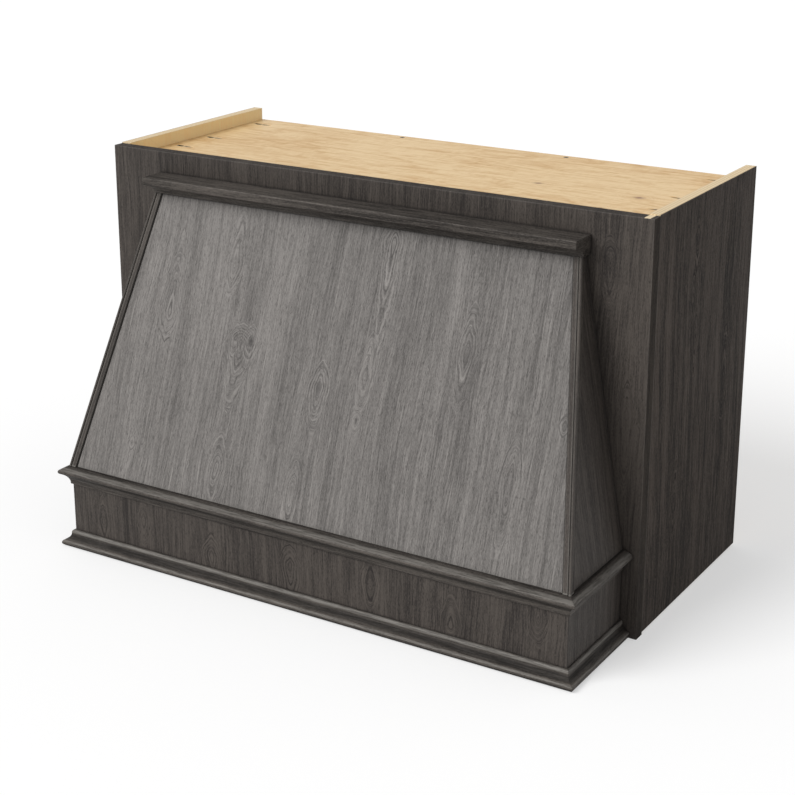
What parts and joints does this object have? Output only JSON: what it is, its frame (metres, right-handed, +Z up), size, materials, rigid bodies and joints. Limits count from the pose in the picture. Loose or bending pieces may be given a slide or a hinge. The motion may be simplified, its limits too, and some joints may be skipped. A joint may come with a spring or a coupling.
{
  "type": "range hood cover",
  "caption": "Wall-hung wooden range hood cover: a sloped, tapering canopy on a moulded skirt in front of a box carcass, open beneath for a hood liner.",
  "frame": {"origin": "centre of the cover's footprint, level with the underside of the base moulding and the front panel", "axes": "+X to the viewer's right along the front, +Y towards the wall, +Z up"},
  "size_m": [0.9144, 0.555, 0.6112],
  "materials": {
    "stained_oak": "dark grey stained oak veneer, satin",
    "canopy_oak": "grey stained oak veneer, satin",
    "stained_moulding": "dark grey stained solid oak, satin",
    "side_ply": "dark grey stained veneer outside, clear maple inside",
    "maple_ply": "clear-coated maple plywood",
    "inner_wood": "plain planed softwood",
    "black_screw": "black coated steel",
    "zinc_screw": "bright zinc plate"
  },
  "bodies": {
    "root": {"base_moulding_front": "stained_moulding", "canopy_front_panel": "canopy_oak", "canopy_wedge": "inner_wood", "cap_moulding_front": "stained_moulding", "front_liner_cleat": "inner_wood", "front_panel": "stained_oak", "left_back_block": "inner_wood", "left_base_moulding": "stained_moulding", "left_canopy_cheek": "stained_oak", "left_cap_moulding": "stained_moulding", "left_cheek_cleat": "inner_wood", "left_corner_bead": "stained_moulding", "left_corner_block": "inner_wood", "left_corner_strip": "inner_wood", "left_liner_cleat": "inner_wood", "left_side_panel": "side_ply", "left_skirt_board": "stained_oak", "lower_hanging_rail": "inner_wood", "right_back_block": "inner_wood", "right_base_moulding": "stained_moulding", "right_canopy_cheek": "stained_oak", "right_cap_moulding": "stained_moulding", "right_cheek_cleat": "inner_wood", "right_corner_bead": "stained_moulding", "right_corner_block": "inner_wood", "right_corner_strip": "inner_wood", "right_liner_cleat": "inner_wood", "right_side_panel": "side_ply", "right_skirt_board": "stained_oak", "skirt_front_board": "stained_oak", "top_panel": "maple_ply", "top_pocket_screws": "zinc_screw", "top_rail_screws": "black_screw", "top_trim": "stained_moulding", "upper_hanging_rail": "inner_wood"}
  },
  "joints": []
}
